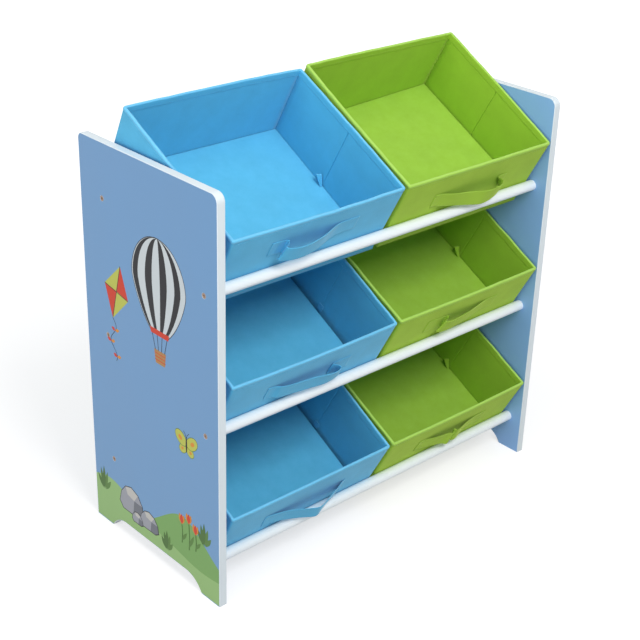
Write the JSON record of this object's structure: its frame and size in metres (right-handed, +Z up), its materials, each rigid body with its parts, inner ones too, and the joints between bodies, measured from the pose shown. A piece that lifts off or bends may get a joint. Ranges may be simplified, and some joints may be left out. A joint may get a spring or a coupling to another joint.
{
  "type": "toy storage organizer",
  "caption": "Freestanding shelf stand with two side panels and rods that carry tilted, lift-out fabric bins for toys.",
  "frame": {"origin": "on the floor, midway between the two side panels and midway between their front and rear edges", "axes": "+X to the right seen from the front, +Y to the rear, +Z up"},
  "size_m": [0.635, 0.3039, 0.6504],
  "materials": {
    "painted_board": "sprayed medium-density board, satin lacquer, printed blue faces and white edges",
    "white_rod": "white satin paint on a wooden bar",
    "screw_steel": "dark zinc-plated steel",
    "blue_fabric": "sky blue non-woven fabric",
    "green_fabric": "lime green non-woven fabric",
    "blue_lining": "sky blue non-woven lining",
    "green_lining": "lime green non-woven lining",
    "grey_board": "plain grey board inside the walls"
  },
  "bodies": {
    "frame": {"left_panel": "painted_board", "right_panel": "painted_board", "bottom_front_rod": "white_rod", "bottom_rear_rod": "white_rod", "middle_front_rod": "white_rod", "middle_rear_rod": "white_rod", "top_front_rod": "white_rod", "top_rear_rod": "white_rod", "left_panel_screws": "screw_steel", "right_panel_screws": "screw_steel"},
    "bottom_left_bin": {"bottom_left_bin_base": "blue_fabric", "bottom_left_bin_cover": "blue_fabric", "bottom_left_bin_liner": "blue_lining", "bottom_left_bin_wall_boards": "grey_board", "bottom_left_bin_rim_hem": "blue_fabric", "bottom_left_bin_handle": "blue_fabric"},
    "bottom_left_floor": {"bottom_left_bin_floor_board": "blue_lining", "bottom_left_bin_floor_tab": "blue_fabric"},
    "bottom_right_bin": {"bottom_right_bin_base": "green_fabric", "bottom_right_bin_cover": "green_fabric", "bottom_right_bin_liner": "green_lining", "bottom_right_bin_wall_boards": "grey_board", "bottom_right_bin_rim_hem": "green_fabric", "bottom_right_bin_handle": "green_fabric"},
    "bottom_right_floor": {"bottom_right_bin_floor_board": "green_lining", "bottom_right_bin_floor_tab": "green_fabric"},
    "middle_left_bin": {"middle_left_bin_base": "blue_fabric", "middle_left_bin_cover": "blue_fabric", "middle_left_bin_liner": "blue_lining", "middle_left_bin_wall_boards": "grey_board", "middle_left_bin_rim_hem": "blue_fabric", "middle_left_bin_handle": "blue_fabric"},
    "middle_left_floor": {"middle_left_bin_floor_board": "blue_lining", "middle_left_bin_floor_tab": "blue_fabric"},
    "middle_right_bin": {"middle_right_bin_base": "green_fabric", "middle_right_bin_cover": "green_fabric", "middle_right_bin_liner": "green_lining", "middle_right_bin_wall_boards": "grey_board", "middle_right_bin_rim_hem": "green_fabric", "middle_right_bin_handle": "green_fabric"},
    "middle_right_floor": {"middle_right_bin_floor_board": "green_lining", "middle_right_bin_floor_tab": "green_fabric"},
    "top_left_bin": {"top_left_bin_base": "blue_fabric", "top_left_bin_cover": "blue_fabric", "top_left_bin_liner": "blue_lining", "top_left_bin_wall_boards": "grey_board", "top_left_bin_rim_hem": "blue_fabric", "top_left_bin_handle": "blue_fabric"},
    "top_left_floor": {"top_left_bin_floor_board": "blue_lining", "top_left_bin_floor_tab": "blue_fabric"},
    "top_right_bin": {"top_right_bin_base": "green_fabric", "top_right_bin_cover": "green_fabric", "top_right_bin_liner": "green_lining", "top_right_bin_wall_boards": "grey_board", "top_right_bin_rim_hem": "green_fabric", "top_right_bin_handle": "green_fabric"},
    "top_right_floor": {"top_right_bin_floor_board": "green_lining", "top_right_bin_floor_tab": "green_fabric"}
  },
  "joints": [
    {"name": "bottom_left_bin_lift", "type": "slide", "parent": "frame", "child": "bottom_left_bin", "axis": [0, -0.4695, 0.8829], "range_m": [0, 0.05]},
    {"name": "bottom_left_floor_lift", "type": "slide", "parent": "bottom_left_bin", "child": "bottom_left_floor", "axis": [0, -0.4695, 0.8829], "range_m": [0, 0.1]},
    {"name": "bottom_right_bin_lift", "type": "slide", "parent": "frame", "child": "bottom_right_bin", "axis": [0, -0.4695, 0.8829], "range_m": [0, 0.05]},
    {"name": "bottom_right_floor_lift", "type": "slide", "parent": "bottom_right_bin", "child": "bottom_right_floor", "axis": [0, -0.4695, 0.8829], "range_m": [0, 0.1]},
    {"name": "middle_left_bin_lift", "type": "slide", "parent": "frame", "child": "middle_left_bin", "axis": [0, -0.4695, 0.8829], "range_m": [0, 0.05]},
    {"name": "middle_left_floor_lift", "type": "slide", "parent": "middle_left_bin", "child": "middle_left_floor", "axis": [0, -0.4695, 0.8829], "range_m": [0, 0.1]},
    {"name": "middle_right_bin_lift", "type": "slide", "parent": "frame", "child": "middle_right_bin", "axis": [0, -0.4695, 0.8829], "range_m": [0, 0.05]},
    {"name": "middle_right_floor_lift", "type": "slide", "parent": "middle_right_bin", "child": "middle_right_floor", "axis": [0, -0.4695, 0.8829], "range_m": [0, 0.1]},
    {"name": "top_left_bin_lift", "type": "slide", "parent": "frame", "child": "top_left_bin", "axis": [0, -0.4695, 0.8829], "range_m": [0, 0.2]},
    {"name": "top_left_floor_lift", "type": "slide", "parent": "top_left_bin", "child": "top_left_floor", "axis": [0, -0.4695, 0.8829], "range_m": [0, 0.15]},
    {"name": "top_right_bin_lift", "type": "slide", "parent": "frame", "child": "top_right_bin", "axis": [0, -0.4695, 0.8829], "range_m": [0, 0.2]},
    {"name": "top_right_floor_lift", "type": "slide", "parent": "top_right_bin", "child": "top_right_floor", "axis": [0, -0.4695, 0.8829], "range_m": [0, 0.15]}
  ]
}
